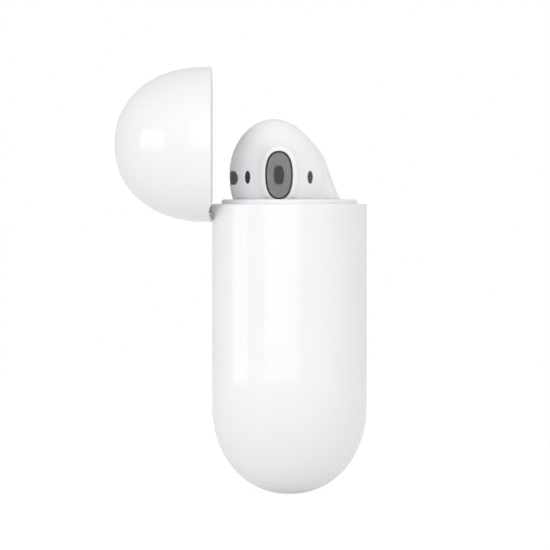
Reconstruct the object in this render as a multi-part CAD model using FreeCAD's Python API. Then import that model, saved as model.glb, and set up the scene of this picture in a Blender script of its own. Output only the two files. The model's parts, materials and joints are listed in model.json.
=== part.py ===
"""Wireless earbuds charging case with its two earbuds, lid open, in millimetres.

The case is a pebble: a rounded rectangle in front view whose edge is a full round all the way along.
+Z is up, +X is to the right and -Y is the front. The origin is at the middle of the case's bottom end, on the
mouth of the charging port. The lid is hinged at the back and stands open at a right angle. Each earbud stands
in the tray with its stem down and its sound outlet facing outwards.
"""

import FreeCAD
import Part
import math
import os

from FreeCAD import Vector

# The closed case
CASE_WIDTH = 44.3
CASE_DEPTH = 21.3
CASE_HEIGHT = 53.5
RIM_Z = 40.0
CORNER_RADIUS = 15.5
EDGE_LENGTH = 12.3
EDGE_POWER = 2.12
EDGE_STEPS = 12

# Walls and gaps
BODY_WALL = 1.2
LID_WALL = 0.75
LID_LIP_INSET = 1.05
LID_LIP_HEIGHT = 1.3
LINER_INSET = 0.79
CAVITY_INSET = 1.15
RECESS_GAP = 0.25
LID_GAP = 0.08
LID_SWING_GAP = 0.06
RIM_ROUND = 0.25
TRAY_INSET = 1.27
TRAY_RISE = 0.62
TRAY_DECK = 1.3
TRAY_ROUND = 0.35
TRAY_SKIRT_WALL = 0.75
TRAY_SKIRT_DEPTH = 6.0
SLIP = 0.04

# Lid hinge: the pin runs along X
HINGE_Y = 9.45
HINGE_Z = 38.8
HINGE_HALF = 9.7
KNUCKLE_RADIUS = 1.13
KNUCKLE_HALF = 3.0
PIN_RADIUS = 0.45
STRIP_TOP = RIM_Z + 0.22
LID_PLATE_Y = (8.85, 9.4)
LID_PLATE_TOP = RIM_Z + 4.2
LID_MAGNET_Z = RIM_Z + 1.7
HINGE_MAGNET_HALF = 2.8
CATCH_MAGNET_HALF = 1.2
CASE_LEAF_Z = RIM_Z - 3.3
FLANGE_Z = RIM_Z - 6.0
LID_OPEN_DEG = 90.0

# Earbud, left one; the right one is its mirror image
STEM_X = -4.2
STEM_Y = -5.1
STEM_BOTTOM_Z = 11.3
STEM_TOP = Vector(STEM_X, STEM_Y, 38.8)
STEM_TOP_RADIUS = 2.9
STEM_FOOT_RADIUS = 2.62
BULB = Vector(-8.5, 2.15, 43.85)
BULB_RADIUS = 6.15
BULB_HALF_HEIGHT = 7.75
BULB_TIP_RADIUS = 5.3
BULB_SEAM_DEG = 50.0
NECK_ROOT = Vector(STEM_X, STEM_Y, 38.0)
NECK_ROOT_RADIUS = 2.6
NECK = Vector(-6.6, -0.8, 43.9)
NECK_RADIUS = 4.6
OUTLET_Y = 1.45
OUTLET_Z = 43.95
OUTLET_X = -15.8
OUTLET_ROOT_X = -10.0
OUTLET_TIP = (2.35, 4.05)
OUTLET_ROOT = (4.3, 6.0)
OUTLET_ROUND = 0.55
BUD_WALL = 0.65
BUD_SPLIT_X = -9.5
GRILLE_HALF = (1.8, 3.25)
GRILLE_SINK = 0.3
GRILLE_THICK = 0.25
SENSOR_HALF = (0.38, 0.9)
SENSOR_YS = (5.75, -2.85)
SENSOR_Z = 43.65
VENT_X = (-12.05, -7.0)
VENT_HALF = 0.95
MIC_HALF = (1.3, 0.5)
MIC_Z = 46.5
RING_TOP_Z = 12.4
RING_RADIUS = 2.7
RING_HOLE_RADIUS = 1.75
MESH_SINK = 0.15
MESH_THICK = 0.3
CELL_Z = (13.9, 36.5)
CELL_RADIUS = 1.85
STRIP_RADII = (1.88, 2.02)
DRIVER_RADIUS = 3.6
DRIVER_MAGNET_RADIUS = 2.4
HEAD_BOARD = (-7.2, -6.6, -2.2, 4.2, 40.2, 47.4)
STEM_MIC_HALF = (0.9, 0.7)
STEM_MIC_Z = (12.7, 13.6)

# Tray pockets
POCKET_GAP = 0.3
POCKET_WALL = 0.7
WELL_RADIUS = 3.2
WELL_WALL = 0.7
WELL_BOTTOM_Z = 9.4
CARRIER_TOP_Z = 10.8

# Inside the case
BATTERY = (-12.0, 12.0, 0.2, 6.4, 10.2, 31.0)
BOARD_Y = 6.7
BOARD_THICK = 0.8
BOARD_HALF = 12.5
BOARD_Z = (7.5, 31.0)
FLEX_THICK = 0.2
FLEX_Z = 9.1
PORT_HALF_X = 4.35
PORT_HALF_Y = 1.6
PORT_DEPTH = 7.6
PORT_MOUTH_HALF = (3.45, 0.9)
PORT_RING_HALF = (4.6, 2.0)
BUTTON_Z = 16.5
BUTTON_RADIUS = 2.9
BUTTON_GAP = 0.1
BUTTON_FACE_Y = 10.6
BUTTON_PUSHER_Y = 8.6
LIGHT_Y = -1.5
LIGHT_RADIUS = 0.6
CONTACT_PIN_RADIUS = 0.35
CONTACT_PIN_OFFSET = 2.2
PORT_PIN_PITCH = 0.72

FAR = 60.0
X_AXIS = Vector(1, 0, 0)
Y_AXIS = Vector(0, 1, 0)
Z_AXIS = Vector(0, 0, 1)


def box(x0, x1, y0, y1, z0, z1):
    """A box between two corners."""
    return Part.makeBox(x1 - x0, y1 - y0, z1 - z0, Vector(x0, y0, z0))


def rod(radius, start, axis, length):
    """A round bar from a start point along an axis."""
    return Part.makeCylinder(radius, length, start, axis)


def hinge_rod(radius, half):
    """A round bar on the hinge axis, centred on the middle of the case."""
    return rod(radius, Vector(-half, HINGE_Y, HINGE_Z), X_AXIS, 2 * half)


def mirrored(shape):
    """The same piece for the other side of the case."""
    return shape.mirror(Vector(0, 0, 0), X_AXIS)


def both_sides(shape):
    """The piece and its mirror image, as separate solids."""
    return Part.makeCompound([shape, mirrored(shape)])


def slot_face(half_long, half_short):
    """A stadium in the XY plane, long along X."""
    reach = half_long - half_short
    ends = [Vector(reach, -half_short, 0), Vector(reach, half_short, 0)]
    ends += [Vector(-reach, half_short, 0), Vector(-reach, -half_short, 0)]
    edges = [
        Part.Arc(ends[0], Vector(half_long, 0, 0), ends[1]).toShape(),
        Part.LineSegment(ends[1], ends[2]).toShape(),
        Part.Arc(ends[2], Vector(-half_long, 0, 0), ends[3]).toShape(),
        Part.LineSegment(ends[3], ends[0]).toShape(),
    ]
    return Part.Face(Part.Wire(edges))


def slot_bar(half_long, half_short, centre, z0, z1):
    """A stadium bar that runs along Z."""
    bar = slot_face(half_long, half_short).extrude(Vector(0, 0, z1 - z0))
    bar.translate(Vector(centre[0], centre[1], z0))
    return bar


def outlet_bar(half_y, half_z, y, z, x0, x1):
    """A stadium bar that runs along X, long along Z."""
    bar = slot_face(half_z, half_y).extrude(Vector(0, 0, x1 - x0))
    bar.rotate(Vector(0, 0, 0), Y_AXIS, 90)
    bar.translate(Vector(x0, y, z))
    return bar


def ellipse_wire(half_y, half_z, x):
    """An upright ellipse around the sound outlet's axis, in the plane at x."""
    curve = Part.Ellipse(Vector(0, 0, 0), half_z, half_y)
    wire = Part.Wire(curve.toShape())
    wire.rotate(Vector(0, 0, 0), Y_AXIS, 90)
    wire.translate(Vector(x, OUTLET_Y, OUTLET_Z))
    return wire


def edge_face(inset):
    """Half of the pebble's edge section: X runs outwards from a corner's centre, Y through the thickness."""
    half_depth = CASE_DEPTH / 2 - inset
    flat = CORNER_RADIUS - EDGE_LENGTH
    reach = EDGE_LENGTH - inset
    points = []
    for step in range(-EDGE_STEPS, EDGE_STEPS + 1):
        turn = math.pi / 2 * step / EDGE_STEPS
        x = flat + reach * abs(math.cos(turn)) ** (2 / EDGE_POWER)
        y = half_depth * math.copysign(abs(math.sin(turn)) ** (2 / EDGE_POWER), turn)
        points.append(Vector(x, y, 0))
    points[0].x = flat
    points[-1].x = flat
    curve = Part.BSplineCurve()
    curve.interpolate(Points=points, InitialTangent=X_AXIS, FinalTangent=X_AXIS * -1)
    low, high = Vector(0, -half_depth, 0), Vector(0, half_depth, 0)
    lines = [
        Part.LineSegment(low, points[0]).toShape(),
        curve.toShape(),
        Part.LineSegment(points[-1], high).toShape(),
        Part.LineSegment(high, low).toShape(),
    ]
    return Part.Face(Part.Wire(lines))


def pebble(inset):
    """The closed case's outer form, shrunk by inset on every side."""
    half_depth = CASE_DEPTH / 2 - inset
    reach_x = CASE_WIDTH / 2 - CORNER_RADIUS
    low_z, high_z = CORNER_RADIUS, CASE_HEIGHT - CORNER_RADIUS
    face = edge_face(inset)
    quarter = face.revolve(Vector(0, 0, 0), Y_AXIS, 90)
    corners = [(reach_x, low_z), (-reach_x, low_z), (-reach_x, high_z), (reach_x, high_z)]
    pieces = []
    for turn, (x, z) in enumerate(corners):
        corner = quarter.copy()
        corner.rotate(Vector(0, 0, 0), Y_AXIS, 90 * turn)
        corner.translate(Vector(x, 0, z))
        pieces.append(corner)
        next_x, next_z = corners[(turn + 1) % 4]
        side = face.copy()
        side.rotate(Vector(0, 0, 0), Y_AXIS, 90 * (turn + 1))
        side.translate(Vector(x, 0, z))
        pieces.append(side.extrude(Vector(next_x - x, 0, next_z - z)))
    middle = box(-reach_x, reach_x, -half_depth, half_depth, low_z, high_z)
    return middle.multiFuse(pieces).removeSplitter()


def between(shape, z0, z1):
    """The part of a shape between two heights."""
    return shape.common(box(-FAR, FAR, -FAR, FAR, z0, z1))


def rounded_at(form, inset, z, radius, way):
    """Keeps a form below a height (way 1) or above it (way -1), with its edge there rounded off."""
    knee = z - way * radius
    sections = []
    for step in range(4):
        turn = math.pi / 2 * step / 3
        shrunk = pebble(inset + radius * (1 - math.cos(turn)))
        sections.append(shrunk.slice(Z_AXIS, knee + way * radius * math.sin(turn))[0])
    kept = between(form, -1, knee) if way > 0 else between(form, knee, FAR)
    return kept.fuse(Part.makeLoft(sections, True))


def to_open(shape):
    """Swings a piece of the lid from shut to fully open."""
    swung = shape.copy()
    swung.rotate(Vector(0, HINGE_Y, HINGE_Z), X_AXIS, -LID_OPEN_DEG)
    return swung


# ---- Earbuds ----


def egg(centre, radius, half_height, tip_radius, seam_deg):
    """An upright egg, turned from two round tips and a flatter side, with its seam on a clear side."""
    tip_z = half_height - tip_radius
    side_radius = (radius**2 + half_height**2 - 2 * half_height * tip_radius) / (2 * (radius - tip_radius))
    side_x = radius - side_radius
    turn = math.atan2(tip_z, -side_x)
    knee = Vector(side_x + side_radius * math.cos(turn), 0, side_radius * math.sin(turn))
    lean = (turn + math.pi / 2) / 2
    mid = Vector(tip_radius * math.cos(lean), 0, tip_z + tip_radius * math.sin(lean))
    top = Vector(0, 0, half_height)

    def below(point):
        return Vector(point.x, 0, -point.z)

    edges = [
        Part.Arc(top, mid, knee).toShape(),
        Part.Arc(knee, Vector(radius, 0, 0), below(knee)).toShape(),
        Part.Arc(below(knee), below(mid), below(top)).toShape(),
        Part.LineSegment(below(top), top).toShape(),
    ]
    shape = Part.Face(Part.Wire(edges)).revolve(Vector(0, 0, 0), Z_AXIS, 360)
    shape.rotate(Vector(0, 0, 0), Z_AXIS, seam_deg)
    shape.translate(centre)
    return shape


def limb(start, start_radius, end, end_radius):
    """A bar with ball ends of two sizes and the cone that touches them both, turned in one piece."""
    along = end - start
    length = along.Length
    lean = math.asin((start_radius - end_radius) / length)

    def rim(centre_z, radius, turn):
        return Vector(radius * math.cos(turn), 0, centre_z + radius * math.sin(turn))

    foot, top = Vector(0, 0, -start_radius), Vector(0, 0, length + end_radius)
    low, high = rim(0, start_radius, lean), rim(length, end_radius, lean)
    edges = [
        Part.Arc(foot, rim(0, start_radius, lean - 0.7), low).toShape(),
        Part.LineSegment(low, high).toShape(),
        Part.Arc(high, rim(length, end_radius, lean + 0.7), top).toShape(),
        Part.LineSegment(top, foot).toShape(),
    ]
    shape = Part.Face(Part.Wire(edges)).revolve(Vector(0, 0, 0), Z_AXIS, 360)
    shape.Placement = FreeCAD.Placement(start, FreeCAD.Rotation(Z_AXIS, along))
    return shape


def outlet_form(grow):
    """The tapered oval spout that carries the sound outlet."""
    tip_x = OUTLET_X - grow
    root = ellipse_wire(OUTLET_ROOT[0] + grow, OUTLET_ROOT[1] + grow, OUTLET_ROOT_X)
    tip = ellipse_wire(OUTLET_TIP[0] + grow, OUTLET_TIP[1] + grow, tip_x)
    spout = Part.makeLoft([root, tip], True, True)
    rim = [e for e in spout.Edges if e.BoundBox.XMax < tip_x + 0.01]
    return spout.makeFillet(OUTLET_ROUND, rim)


def bud_form(grow, foot_z=STEM_BOTTOM_Z):
    """The left earbud's outer form, grown by a gap or shrunk by a wall."""
    bulb = egg(BULB, BULB_RADIUS + grow, BULB_HALF_HEIGHT + grow, BULB_TIP_RADIUS + grow, BULB_SEAM_DEG)
    neck = limb(NECK_ROOT, NECK_ROOT_RADIUS + grow, NECK, NECK_RADIUS + grow)
    stem = limb(Vector(STEM_X, STEM_Y, 0), STEM_FOOT_RADIUS + grow, STEM_TOP, STEM_TOP_RADIUS + grow)
    stem = between(stem, foot_z, FAR)
    return bulb.multiFuse([outlet_form(grow), neck, stem])


def bud_wall():
    """The earbud's hollow wall above its end ring, before any opening is cut."""
    hollow = bud_form(0.0).cut(bud_form(-BUD_WALL, STEM_BOTTOM_Z - 1.0))
    return between(hollow, RING_TOP_Z, FAR)


def grille_plug(gap):
    """The space that the sound grille takes up."""
    return outlet_bar(GRILLE_HALF[0] + gap, GRILLE_HALF[1] + gap, OUTLET_Y, OUTLET_Z, OUTLET_X - 1, OUTLET_X + 2)


def sensor_plug(y):
    """The space behind one oval sensor window."""
    return outlet_bar(SENSOR_HALF[0], SENSOR_HALF[1], y, SENSOR_Z, -FAR, BULB.x)


def vent_plug():
    """The slot for the vent at the back of the bulb, through the wall along Y."""
    middle = (VENT_X[0] + VENT_X[1]) / 2
    half_long = (VENT_X[1] - VENT_X[0]) / 2
    bar = slot_face(half_long, VENT_HALF).extrude(Vector(0, 0, 12))
    bar.rotate(Vector(0, 0, 0), X_AXIS, -90)
    bar.translate(Vector(middle, BULB.y, SENSOR_Z))
    return bar


def mic_plug():
    """The slot for the outer microphone, through the wall of the neck along X."""
    return outlet_bar(MIC_HALF[1], MIC_HALF[0], NECK.y, MIC_Z, NECK.x, 0)


def stem_rod(radius, z0, z1):
    """A round bar on the stem's axis between two heights."""
    return rod(radius, Vector(STEM_X, STEM_Y, z0), Z_AXIS, z1 - z0)


def left_bud():
    """Every piece of the left earbud."""
    wall = bud_wall()
    sensor_plugs = [sensor_plug(y) for y in SENSOR_YS]
    shells = wall
    for plug in [grille_plug(SLIP), *sensor_plugs, vent_plug(), mic_plug()]:
        shells = shells.cut(plug)
    layer = bud_form(-MESH_SINK).cut(bud_form(-MESH_SINK - MESH_THICK))
    grille_x = OUTLET_X + GRILLE_SINK
    ring = stem_rod(RING_RADIUS, STEM_BOTTOM_Z, RING_TOP_Z).cut(stem_rod(RING_HOLE_RADIUS, 0, FAR))
    strip = stem_rod(STRIP_RADII[1], *CELL_Z).cut(stem_rod(STRIP_RADII[0], 0, FAR))
    strip = strip.common(box(STEM_X + 0.5, 0, -FAR, FAR, 0, FAR))
    mic_x, mic_y = STEM_MIC_HALF
    return {
        "cap": shells.common(box(-FAR, BUD_SPLIT_X, -FAR, FAR, 0, FAR)),
        "housing": shells.common(box(BUD_SPLIT_X, 0, -FAR, FAR, 0, FAR)),
        "grille": outlet_bar(*GRILLE_HALF, OUTLET_Y, OUTLET_Z, grille_x, grille_x + GRILLE_THICK),
        "sensor_windows": Part.makeCompound([wall.common(plug) for plug in sensor_plugs]),
        "rear_vent": layer.common(vent_plug()),
        "outer_mic_mesh": layer.common(mic_plug()),
        "driver": rod(DRIVER_RADIUS, BULB - X_AXIS * 3.4, X_AXIS, 2.4),
        "driver_magnet": rod(DRIVER_MAGNET_RADIUS, BULB - X_AXIS * 0.9, X_AXIS, 1.4),
        "head_board": box(*HEAD_BOARD),
        "cell": stem_rod(CELL_RADIUS, *CELL_Z),
        "antenna_strip": strip,
        "stem_mic": box(STEM_X - mic_x, STEM_X + mic_x, STEM_Y - mic_y, STEM_Y + mic_y, *STEM_MIC_Z),
        "stem_ring": ring,
        "stem_mesh": stem_rod(RING_HOLE_RADIUS, STEM_BOTTOM_Z + MESH_SINK, STEM_BOTTOM_Z + MESH_SINK + MESH_THICK),
    }


# ---- Lid, drawn shut and then swung open ----


def lid_shell(outer):
    """The lid's outer cover, with a thicker lip and a rounded-out back edge that clears the body."""
    shell = rounded_at(outer, 0, RIM_Z + LID_GAP, RIM_ROUND, -1).cut(pebble(LID_WALL))
    lip = between(pebble(LID_WALL - SLIP).cut(pebble(LID_LIP_INSET)), RIM_Z + LID_GAP, RIM_Z + LID_LIP_HEIGHT)
    shell = shell.fuse(lip)
    corner = (CASE_DEPTH / 2 - RIM_ROUND - HINGE_Y, RIM_Z - RIM_ROUND - HINGE_Z)
    corner_reach = math.hypot(*corner) + RIM_ROUND
    strip_room = box(-HINGE_HALF - 0.1, HINGE_HALF + 0.1, HINGE_Y - 0.2, FAR, 0, STRIP_TOP + SLIP)
    swing = hinge_rod(corner_reach + LID_SWING_GAP, FAR)
    beside = box(-HINGE_HALF - SLIP, HINGE_HALF + SLIP, -FAR, FAR, -FAR, FAR)
    return shell.cut(swing.cut(beside)).cut(strip_room)


def lid_leaf_plate(gap):
    """The flat part of the lid's hinge leaf, inside the lid."""
    half = KNUCKLE_HALF + gap
    return box(-half, half, LID_PLATE_Y[0] - gap, LID_PLATE_Y[1] + gap, RIM_Z + 1.4, LID_PLATE_TOP + gap)


def lid_hinge_magnet(gap):
    """The magnet that pushes the lid past its half-open point."""
    half = HINGE_MAGNET_HALF + gap
    return box(-half, half, 7.85 - gap, 8.75 + gap, LID_MAGNET_Z - gap, LID_PLATE_TOP + gap)


def lid_catch_magnet(gap):
    """The magnet that holds the lid shut."""
    half = CATCH_MAGNET_HALF + gap
    return box(-half, half, -9.35 - gap, -8.5 + gap, LID_MAGNET_Z - gap, RIM_Z + 4.4 + gap)


def lid_liner():
    """The lid's inner moulding: a rib between the earbuds, a recess for each head and a housing for each magnet."""
    foot = RIM_Z + LID_LIP_HEIGHT + SLIP
    form = between(pebble(LINER_INSET), foot, FAR)
    cavity = pebble(CAVITY_INSET)
    rib = box(-0.9, 0.9, -FAR, FAR, RIM_Z + 6.0, FAR)
    front = box(-2.0, 2.0, -FAR, -8.1, foot, RIM_Z + 5.2)
    back = box(-3.8, 3.8, 7.4, FAR, foot, RIM_Z + 5.0)
    liner = form.cut(cavity).fuse(form.common(rib.multiFuse([front, back])))
    arm_room = box(-KNUCKLE_HALF - 0.2, KNUCKLE_HALF + 0.2, 8.2, 9.65, foot - 1, RIM_Z + 1.6)
    recess = bud_form(RECESS_GAP)
    rooms = [recess, mirrored(recess), lid_hinge_magnet(SLIP), lid_catch_magnet(SLIP), arm_room]
    return liner.cut(lid_leaf_plate(SLIP).multiFuse(rooms))


def hinge_lid_leaf():
    """The steel leaf on the lid: a middle knuckle, an arm, a plate and the strip under the lid's back edge."""
    knuckle = hinge_rod(KNUCKLE_RADIUS, KNUCKLE_HALF)
    arm = box(-KNUCKLE_HALF, KNUCKLE_HALF, 8.35, HINGE_Y, HINGE_Z, RIM_Z + 1.6)
    link = box(-KNUCKLE_HALF, KNUCKLE_HALF, 9.0, 9.55, RIM_Z - 0.03, STRIP_TOP)
    strip = box(-HINGE_HALF, HINGE_HALF, HINGE_Y + 0.02, 10.62, RIM_Z - 0.03, STRIP_TOP)
    leaf = knuckle.multiFuse([arm, link, strip, lid_leaf_plate(0)])
    return leaf.cut(hinge_rod(PIN_RADIUS + 0.03, FAR))


# ---- Case body ----


def body_shell(outer):
    """The case's outer cover, open at the top, with its hinge, button and port openings."""
    shell = rounded_at(outer, 0, RIM_Z, RIM_ROUND, 1).cut(pebble(BODY_WALL))
    hinge_room = box(-HINGE_HALF - 0.1, HINGE_HALF + 0.1, 8, FAR, CASE_LEAF_Z - 0.05, FAR)
    button_room = rod(BUTTON_RADIUS + BUTTON_GAP, Vector(0, 8, BUTTON_Z), Y_AXIS, 4)
    port_room = slot_bar(PORT_RING_HALF[0] + SLIP, PORT_RING_HALF[1] + SLIP, (0, 0), -1, 2)
    return shell.cut(hinge_room.multiFuse([button_room, port_room]))


def cradle_tray():
    """The tray that the earbuds stand in: a raised deck, a skirt, and a pocket and a well for each earbud."""
    form = pebble(TRAY_INSET)
    top = RIM_Z + TRAY_RISE
    deck_z = top - TRAY_DECK
    deck = between(rounded_at(form, TRAY_INSET, top, TRAY_ROUND, 1), deck_z, FAR)
    skirt = form.cut(pebble(TRAY_INSET + TRAY_SKIRT_WALL))
    skirt = between(skirt, RIM_Z - TRAY_SKIRT_DEPTH, deck_z + 0.2)
    cup = between(bud_form(POCKET_GAP + POCKET_WALL), 20, deck_z + 0.5)
    foot = Vector(STEM_X, STEM_Y, WELL_BOTTOM_Z)
    tube = rod(WELL_RADIUS + WELL_WALL, foot, Z_AXIS, deck_z + 0.5 - WELL_BOTTOM_Z)
    pocket = bud_form(POCKET_GAP)
    well = rod(WELL_RADIUS, foot - Z_AXIS, Z_AXIS, FAR)
    tray = deck.multiFuse([skirt, cup, mirrored(cup), tube, mirrored(tube)])
    hinge_room = hinge_rod(KNUCKLE_RADIUS + 0.15, HINGE_HALF + 0.3)
    leaf_room = box(-HINGE_HALF - 0.3, HINGE_HALF + 0.3, 8.6, FAR, FLANGE_Z - 0.3, RIM_Z - SLIP)
    arm_room = box(-KNUCKLE_HALF - 0.3, KNUCKLE_HALF + 0.3, 8.1, FAR, FLANGE_Z, FAR)
    light_room = rod(LIGHT_RADIUS + SLIP, Vector(0, LIGHT_Y, 0), Z_AXIS, FAR)
    voids = [mirrored(pocket), well, mirrored(well), hinge_room, leaf_room, arm_room, light_room]
    return tray.cut(pocket.multiFuse(voids))


def hinge_case_leaf():
    """The steel leaf on the body: two outer knuckles, the plate that shows and the flange inside."""
    barrel = hinge_rod(KNUCKLE_RADIUS, HINGE_HALF)
    half = HINGE_HALF
    plate = box(-half, half, 9.5, 10.6, CASE_LEAF_Z, HINGE_Z)
    bridge = box(-half, half, 8.75, 10.6, CASE_LEAF_Z, CASE_LEAF_Z + 0.7)
    flange = box(-half, half, 8.75, 9.4, FLANGE_Z, CASE_LEAF_Z)
    leaf = barrel.multiFuse([plate, bridge, flange])
    knuckle_room = hinge_rod(KNUCKLE_RADIUS + 0.05, KNUCKLE_HALF + 0.1)
    arm_room = box(-KNUCKLE_HALF - 0.1, KNUCKLE_HALF + 0.1, 8, FAR, HINGE_Z - 0.2, FAR)
    return leaf.cut(knuckle_room.multiFuse([arm_room, hinge_rod(PIN_RADIUS + 0.01, FAR)]))


def setup_button():
    """The round push button in the back, with the flange that keeps it in and its pusher."""
    centre = Vector(0, 0, BUTTON_Z)
    cap = rod(BUTTON_RADIUS, centre + Y_AXIS * 9.35, Y_AXIS, BUTTON_FACE_Y - 9.35)
    cap = cap.makeFillet(0.2, [e for e in cap.Edges if e.BoundBox.YMin > BUTTON_FACE_Y - 0.01])
    flange = rod(BUTTON_RADIUS + 0.5, centre + Y_AXIS * 9.0, Y_AXIS, 0.4)
    pusher = rod(1.0, centre + Y_AXIS * BUTTON_PUSHER_Y, Y_AXIS, 0.5)
    return cap.multiFuse([flange, pusher])


def charging_port():
    """The port's metal shell, a pill-shaped can that is open at the bottom."""
    can = slot_bar(PORT_HALF_X, PORT_HALF_Y, (0, 0), 1.25, PORT_DEPTH)
    return can.cut(slot_bar(*PORT_MOUTH_HALF, (0, 0), 0, PORT_DEPTH - 0.6))


def port_pins():
    """Eight flat contacts in the roof of the port's mouth."""
    first = -3.5 * PORT_PIN_PITCH
    middles = [first + PORT_PIN_PITCH * i for i in range(8)]
    return Part.makeCompound([box(x - 0.1, x + 0.1, 0.65, 0.88, 2.2, 6.6) for x in middles])


def port_trim_ring(outer):
    """The steel trim ring around the port, flush with the case's bottom end."""
    ring = slot_bar(*PORT_RING_HALF, (0, 0), 0, 1.2).cut(slot_bar(*PORT_MOUTH_HALF, (0, 0), -1, 2))
    return ring.common(outer)


def contact_carrier():
    """The moulding that closes the foot of the left well and holds two contact pins."""
    disc = rod(WELL_RADIUS - 0.05, Vector(STEM_X, STEM_Y, WELL_BOTTOM_Z), Z_AXIS, CARRIER_TOP_Z - WELL_BOTTOM_Z)
    return disc.cut(contact_pair(0.01))


def contact_pair(gap):
    """The two pins that touch the left stem's end ring."""
    pins = []
    for side in (-1, 1):
        foot = Vector(STEM_X + side * CONTACT_PIN_OFFSET, STEM_Y, FLEX_Z + FLEX_THICK)
        pins.append(rod(CONTACT_PIN_RADIUS + gap, foot, Z_AXIS, STEM_BOTTOM_Z - 0.03 - foot.z))
    return Part.makeCompound(pins)


def contact_flex():
    """The flat cable from both wells to the main board."""
    top = FLEX_Z + FLEX_THICK
    cross = box(-8, 8, -6.5, -3.7, FLEX_Z, top)
    return cross.fuse(box(-2.5, 2.5, -3.8, BOARD_Y, FLEX_Z, top))


def bud_magnet():
    """The magnet under the left earbud's pocket, which pulls the earbud down onto its contacts."""
    top = BULB.z - BULB_HALF_HEIGHT - POCKET_GAP - POCKET_WALL - 0.1
    return rod(2.0, Vector(BULB.x, BULB.y, top - 1.5), Z_AXIS, 1.5)


def main_board():
    """The upright circuit board behind the battery."""
    return box(-BOARD_HALF, BOARD_HALF, BOARD_Y, BOARD_Y + BOARD_THICK, *BOARD_Z)


def board_parts():
    """Two shield cans, the charge controller and a connector on the board's back."""
    y = BOARD_Y + BOARD_THICK
    sizes = [(-11, -4, 21, 29, 1.0), (-2, 5, 22, 29, 1.0), (6.5, 10.5, 23, 27, 0.7), (-11, -7, 12, 16, 0.6)]
    return Part.makeCompound([box(x0, x1, y, y + high, z0, z1) for x0, x1, z0, z1, high in sizes])


def button_switch():
    """The click switch that the button presses."""
    y = BOARD_Y + BOARD_THICK
    base = box(-1.7, 1.7, y, y + 0.5, BUTTON_Z - 1.7, BUTTON_Z + 1.7)
    return base.fuse(rod(1.0, Vector(0, y + 0.4, BUTTON_Z), Y_AXIS, 8.25 - y - 0.4))


def case_pieces(outer):
    """Every fixed piece of the body."""
    top = RIM_Z + TRAY_RISE
    light_z = RIM_Z - 2.6
    return {
        "body_shell": body_shell(outer),
        "cradle_tray": cradle_tray(),
        "hinge_case_leaf": hinge_case_leaf(),
        "hinge_pin": hinge_rod(PIN_RADIUS, HINGE_HALF - 0.1),
        "battery": box(*BATTERY),
        "battery_lead": box(7.5, 9.5, BATTERY[3], BOARD_Y, 29.5, 29.7),
        "main_board": main_board(),
        "board_parts": board_parts(),
        "button_switch": button_switch(),
        "charging_port": charging_port(),
        "port_pins": port_pins(),
        "port_trim_ring": port_trim_ring(outer),
        "port_flex": box(-2, 2, 0, BOARD_Y, PORT_DEPTH + 0.05, PORT_DEPTH + 0.25),
        "contact_carrier_left": contact_carrier(),
        "contact_carrier_right": mirrored(contact_carrier()),
        "contact_pins": both_sides(contact_pair(0)),
        "contact_flex": contact_flex(),
        "bud_magnets": both_sides(bud_magnet()),
        "catch_magnet_case": box(-CATCH_MAGNET_HALF, CATCH_MAGNET_HALF, -8.6, -7.75, RIM_Z - 4.0, RIM_Z - 0.7),
        "hinge_magnet_case": box(-HINGE_MAGNET_HALF, HINGE_MAGNET_HALF, 7.0, 7.9, RIM_Z - 4.2, RIM_Z - 1.4),
        "status_light_pipe": rod(LIGHT_RADIUS, Vector(0, LIGHT_Y, light_z), Z_AXIS, top - light_z),
        "status_led": box(-0.5, 0.5, LIGHT_Y - 0.3, LIGHT_Y + 0.3, light_z - 0.5, light_z),
        "light_flex": light_flex(light_z - 0.5),
    }


def light_flex(top):
    """The flat cable that carries the status light and runs down to the contact cable."""
    run = box(-0.8, 0.8, -0.4, -0.2, FLEX_Z + FLEX_THICK, top)
    return run.fuse(box(-0.8, 0.8, LIGHT_Y - 0.5, -0.2, top - FLEX_THICK, top))


def lid_pieces(outer):
    """Every piece of the lid, swung open."""
    shut = {
        "lid_shell": lid_shell(outer),
        "lid_liner": lid_liner(),
        "hinge_lid_leaf": hinge_lid_leaf(),
        "catch_magnet_lid": lid_catch_magnet(0),
        "hinge_magnet_lid": lid_hinge_magnet(0),
    }
    return {name: to_open(shape) for name, shape in shut.items()}


def main():
    os.makedirs("parts", exist_ok=True)
    outer = pebble(0.0)
    pieces = case_pieces(outer)
    pieces.update(lid_pieces(outer))
    pieces["setup_button"] = setup_button()
    for name, shape in left_bud().items():
        pieces["left_" + name] = shape
        pieces["right_" + name] = mirrored(shape)
    for name, shape in pieces.items():
        if not shape.isValid() or not shape.Solids:
            print("not a valid solid:", name, len(shape.Solids))
        shape.exportStep(f"parts/{name}.step")
    print(len(pieces), "pieces")


main()
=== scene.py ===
"""Looks for the wireless earbuds case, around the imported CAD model.

The case, lid, tray and hinge are CAD nodes and only get materials here. The earbuds' shells are modelled as one
smooth form, split into the cap and the housing, with woven wire over the sound outlet, the vent and the microphone.
"""

import json
import math

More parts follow.
